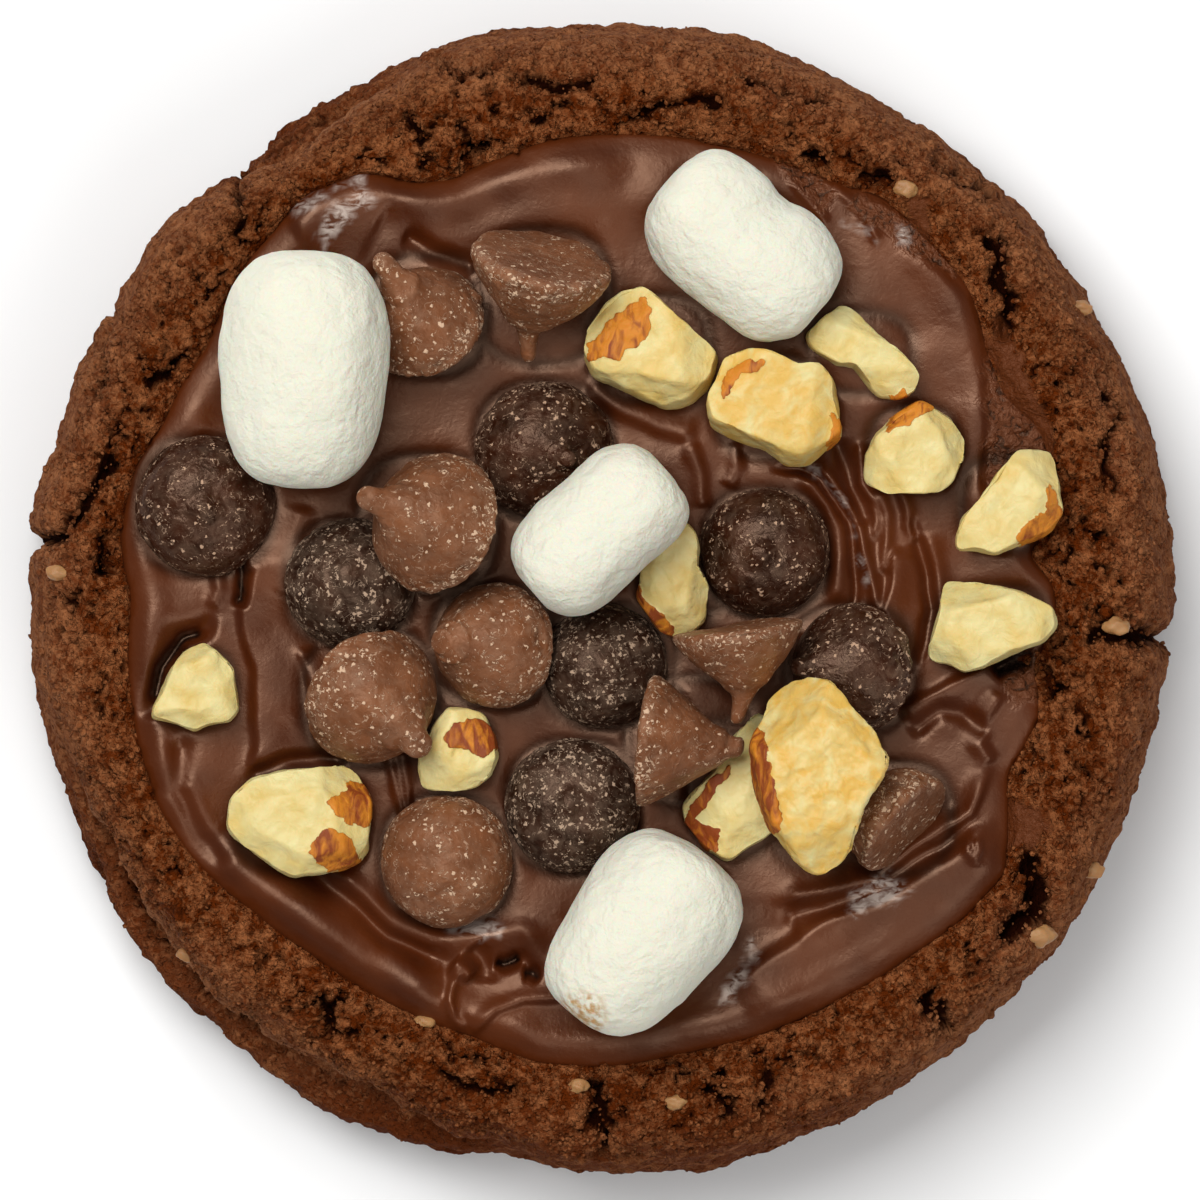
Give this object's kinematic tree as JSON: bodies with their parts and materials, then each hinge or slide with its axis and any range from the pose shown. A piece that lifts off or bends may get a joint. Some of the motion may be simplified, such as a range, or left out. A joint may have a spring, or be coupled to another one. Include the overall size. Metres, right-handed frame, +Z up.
{
  "type": "rocky road cookie",
  "caption": "Thick round chocolate cookie topped with chocolate spread, marshmallows, chocolate chips and chopped almonds.",
  "frame": {"origin": "middle of the cookie's flat underside, at the height it rests on", "axes": "+Z up out of the toppings, +X to the right and +Y away from the viewer in the picture's view from above"},
  "size_m": [0.0952, 0.0956, 0.0354],
  "materials": {
    "dough": "dark chocolate cookie dough, matte, porous and crumbly, with bits of nut baked in",
    "spread": "smooth set chocolate spread with a soft gloss",
    "marshmallow": "soft white marshmallow, dusty and finely dimpled",
    "milk_chocolate": "milk chocolate with a satin bloom and pale flecks",
    "dark_chocolate": "dark chocolate with a satin bloom and many pale flecks",
    "almond": "cut almond, cream and dull, with brown skin on some faces"
  },
  "bodies": {
    "root": {"cookie": "dough", "spread": "spread", "marshmallow_1": "marshmallow", "marshmallow_2": "marshmallow", "marshmallow_3": "marshmallow", "marshmallow_4": "marshmallow", "milk_chip_1": "milk_chocolate", "milk_chip_2": "milk_chocolate", "milk_chip_3": "milk_chocolate", "milk_chip_4": "milk_chocolate", "milk_chip_5": "milk_chocolate", "milk_chip_6": "milk_chocolate", "milk_chip_7": "milk_chocolate", "milk_chip_8": "milk_chocolate", "milk_chip_9": "milk_chocolate", "dark_chip_1": "dark_chocolate", "dark_chip_2": "dark_chocolate", "dark_chip_3": "dark_chocolate", "dark_chip_4": "dark_chocolate", "dark_chip_5": "dark_chocolate", "dark_chip_6": "dark_chocolate", "dark_chip_7": "dark_chocolate", "almond_1": "almond", "almond_2": "almond", "almond_3": "almond", "almond_4": "almond", "almond_5": "almond", "almond_6": "almond", "almond_7": "almond", "almond_8": "almond", "almond_9": "almond", "almond_10": "almond", "almond_11": "almond", "almond_12": "almond"}
  },
  "joints": []
}
